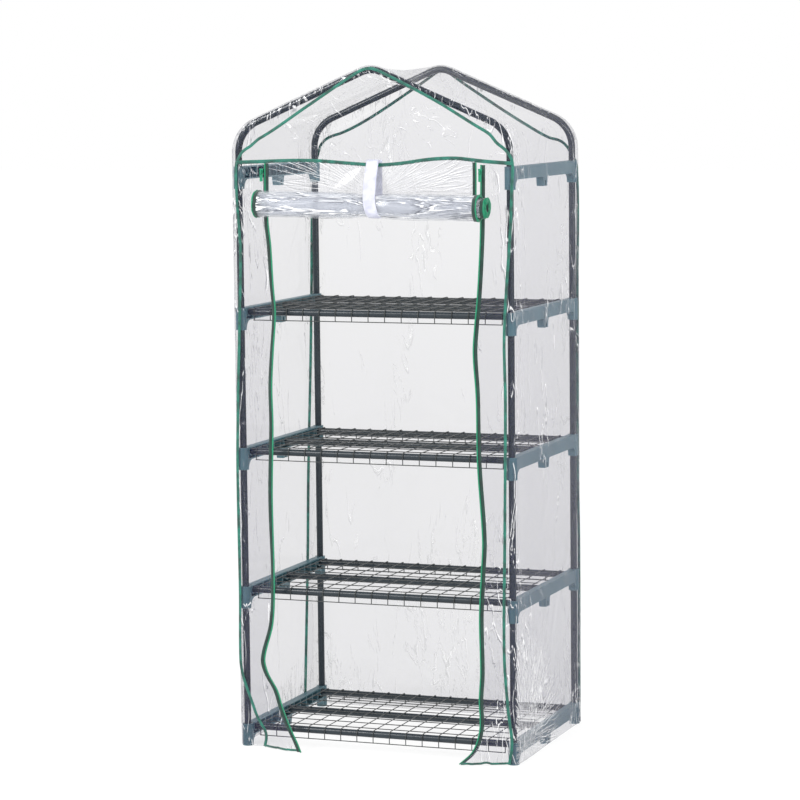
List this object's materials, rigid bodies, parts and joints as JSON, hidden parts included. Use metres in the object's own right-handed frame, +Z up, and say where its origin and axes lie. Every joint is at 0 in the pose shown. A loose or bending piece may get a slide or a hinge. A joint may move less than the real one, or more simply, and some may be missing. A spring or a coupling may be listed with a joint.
{
  "type": "mini greenhouse",
  "caption": "Tiered push-fit tube frame with wire shelves under a clear gabled film cover, its zipped front door rolled up and held by a strap.",
  "frame": {"origin": "on the floor, under the middle of the whole outline, which includes the rolled-up door in front", "axes": "+Z up, -Y towards the door, +X to the right of a person facing the door"},
  "size_m": [0.6952, 0.5644, 1.603],
  "materials": {
    "tube": "dark slate powder coat, satin",
    "bracket": "teal grey moulded plastic",
    "wire": "dark coated welded wire",
    "film": "clear flexible film, creased",
    "binding": "woven green edge binding",
    "strap": "white woven tape",
    "zip_hardware": "bright green moulded plastic"
  },
  "bodies": {
    "frame": {"post_front_left_1": "tube", "post_front_right_1": "tube", "post_rear_left_1": "tube", "post_rear_right_1": "tube", "post_front_left_2": "tube", "post_front_right_2": "tube", "post_rear_left_2": "tube", "post_rear_right_2": "tube", "post_front_left_3": "tube", "post_front_right_3": "tube", "post_rear_left_3": "tube", "post_rear_right_3": "tube", "post_front_left_4": "tube", "post_front_right_4": "tube", "post_rear_left_4": "tube", "post_rear_right_4": "tube", "side_bracket_left_1": "bracket", "side_bracket_right_1": "bracket", "side_bracket_left_2": "bracket", "side_bracket_right_2": "bracket", "side_bracket_left_3": "bracket", "side_bracket_right_3": "bracket", "side_bracket_left_4": "bracket", "side_bracket_right_4": "bracket", "side_bracket_left_5": "bracket", "side_bracket_right_5": "bracket", "shelf_tube_front_1": "tube", "shelf_tube_middle_1": "tube", "shelf_tube_rear_1": "tube", "shelf_tube_front_2": "tube", "shelf_tube_middle_2": "tube", "shelf_tube_rear_2": "tube", "shelf_tube_front_3": "tube", "shelf_tube_middle_3": "tube", "shelf_tube_rear_3": "tube", "shelf_tube_front_4": "tube", "shelf_tube_middle_4": "tube", "shelf_tube_rear_4": "tube", "roof_arch_front": "tube", "roof_arch_rear": "tube"},
    "shelf_1": {"wire_shelf_1": "wire"},
    "shelf_2": {"wire_shelf_2": "wire"},
    "shelf_3": {"wire_shelf_3": "wire"},
    "shelf_4": {"wire_shelf_4": "wire"},
    "cover": {"cover_wrap": "film", "rear_panel": "film", "gable_panel": "film", "front_strip_left": "film", "front_strip_right": "film", "door_curtain": "film", "front_binding": "binding", "rear_binding": "binding", "zip_tapes": "binding", "strap_back": "strap"},
    "door": {"door_roll": "film"},
    "strap": {"strap_front": "strap"},
    "slider_left": {"zip_slider_left": "zip_hardware"},
    "slider_right": {"zip_slider_right": "zip_hardware"},
    "pull_left": {"zip_pull_left": "zip_hardware"},
    "pull_right": {"zip_pull_right": "zip_hardware"}
  },
  "joints": [
    {"name": "shelf_lift_1", "type": "slide", "parent": "frame", "child": "shelf_1", "axis": [0, 0, 1], "range_m": [0, 0.2]},
    {"name": "shelf_lift_2", "type": "slide", "parent": "frame", "child": "shelf_2", "axis": [0, 0, 1], "range_m": [0, 0.2]},
    {"name": "shelf_lift_3", "type": "slide", "parent": "frame", "child": "shelf_3", "axis": [0, 0, 1], "range_m": [0, 0.2]},
    {"name": "shelf_lift_4", "type": "slide", "parent": "frame", "child": "shelf_4", "axis": [0, 0, 1], "range_m": [0, 0.2]},
    {"name": "cover_lift", "type": "slide", "parent": "frame", "child": "cover", "axis": [0, 0, 1], "range_m": [0, 1.65]},
    {"name": "door_unroll", "type": "slide", "parent": "cover", "child": "door", "axis": [0, 0, -1], "range_m": [0, 1.24], "deforming": ["door_curtain", "strap_front", "strap_back"]},
    {"name": "zip_slide_left", "type": "slide", "parent": "cover", "child": "slider_left", "axis": [0, 0, -1], "range_m": [0, 1.24]},
    {"name": "zip_slide_right", "type": "slide", "parent": "cover", "child": "slider_right", "axis": [0, 0, -1], "range_m": [0, 1.24]},
    {"name": "zip_pull_swing_left", "type": "hinge", "parent": "slider_left", "child": "pull_left", "pos_m": [-0.268, -0.2215, 1.36], "axis": [-1, 0, 0], "range_deg": [0, 160]},
    {"name": "zip_pull_swing_right", "type": "hinge", "parent": "slider_right", "child": "pull_right", "pos_m": [0.268, -0.2215, 1.36], "axis": [-1, 0, 0], "range_deg": [0, 160]},
    {"name": "strap_open", "type": "hinge", "parent": "cover", "child": "strap", "pos_m": [0.015, -0.2184, 1.388], "axis": [-1, 0, 0], "range_deg": [0, 120]}
  ],
  "couplings": [
    {"joint": "zip_slide_left", "follows": "door_unroll", "ratio": 1},
    {"joint": "zip_slide_right", "follows": "door_unroll", "ratio": 1}
  ]
}
